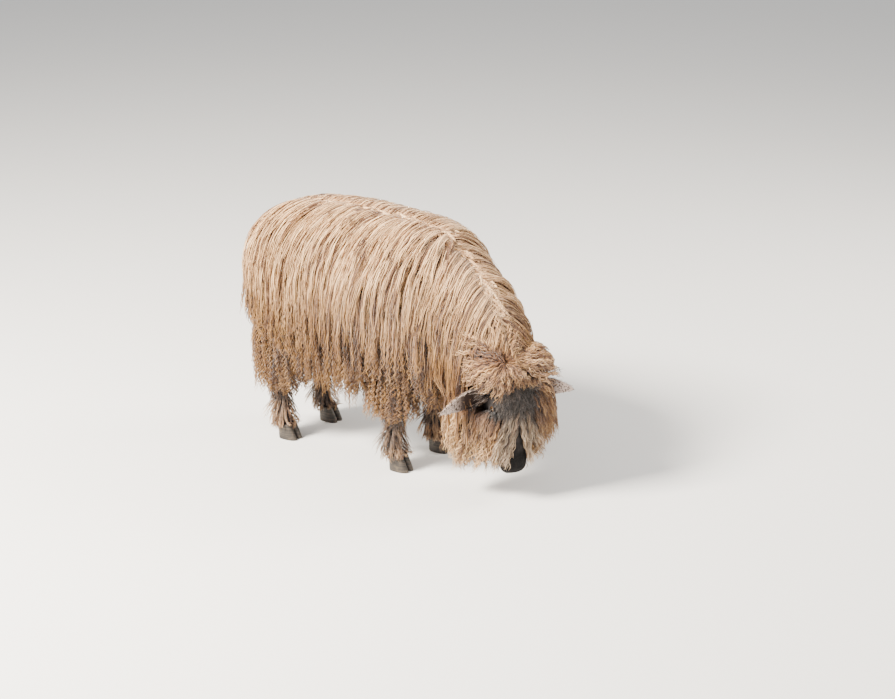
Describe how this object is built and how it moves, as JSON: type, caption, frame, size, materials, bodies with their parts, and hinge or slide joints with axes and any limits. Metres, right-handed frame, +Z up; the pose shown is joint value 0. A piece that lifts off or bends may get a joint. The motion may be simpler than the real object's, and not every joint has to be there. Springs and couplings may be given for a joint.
{
  "type": "long-woolled lamb",
  "caption": "Life-size still model of a long-woolled lamb, well grown and in full fleece, grazing with its head low and turned to its right.",
  "frame": {"origin": "on the floor, under the middle of the whole", "axes": "+X the way the body faces, +Y to the lamb's left, +Z up"},
  "size_m": [1.0096, 0.4728, 0.6549],
  "materials": {
    "fleece": "long crimped wool, matt",
    "hair": "short dark hair",
    "horn": "worn horn",
    "eye": "wet and glossy"
  },
  "bodies": {
    "root": {"torso": "fleece", "neck": "fleece", "head": "fleece", "tail": "fleece", "ear_left": "hair", "ear_right": "hair", "leg_front_left": "hair", "leg_front_right": "hair", "leg_hind_left": "hair", "leg_hind_right": "hair", "claw_front_left_inner": "horn", "claw_front_left_outer": "horn", "claw_front_right_inner": "horn", "claw_front_right_outer": "horn", "claw_hind_left_inner": "horn", "claw_hind_left_outer": "horn", "claw_hind_right_inner": "horn", "claw_hind_right_outer": "horn", "eye_left": "eye", "eye_right": "eye"}
  },
  "joints": []
}
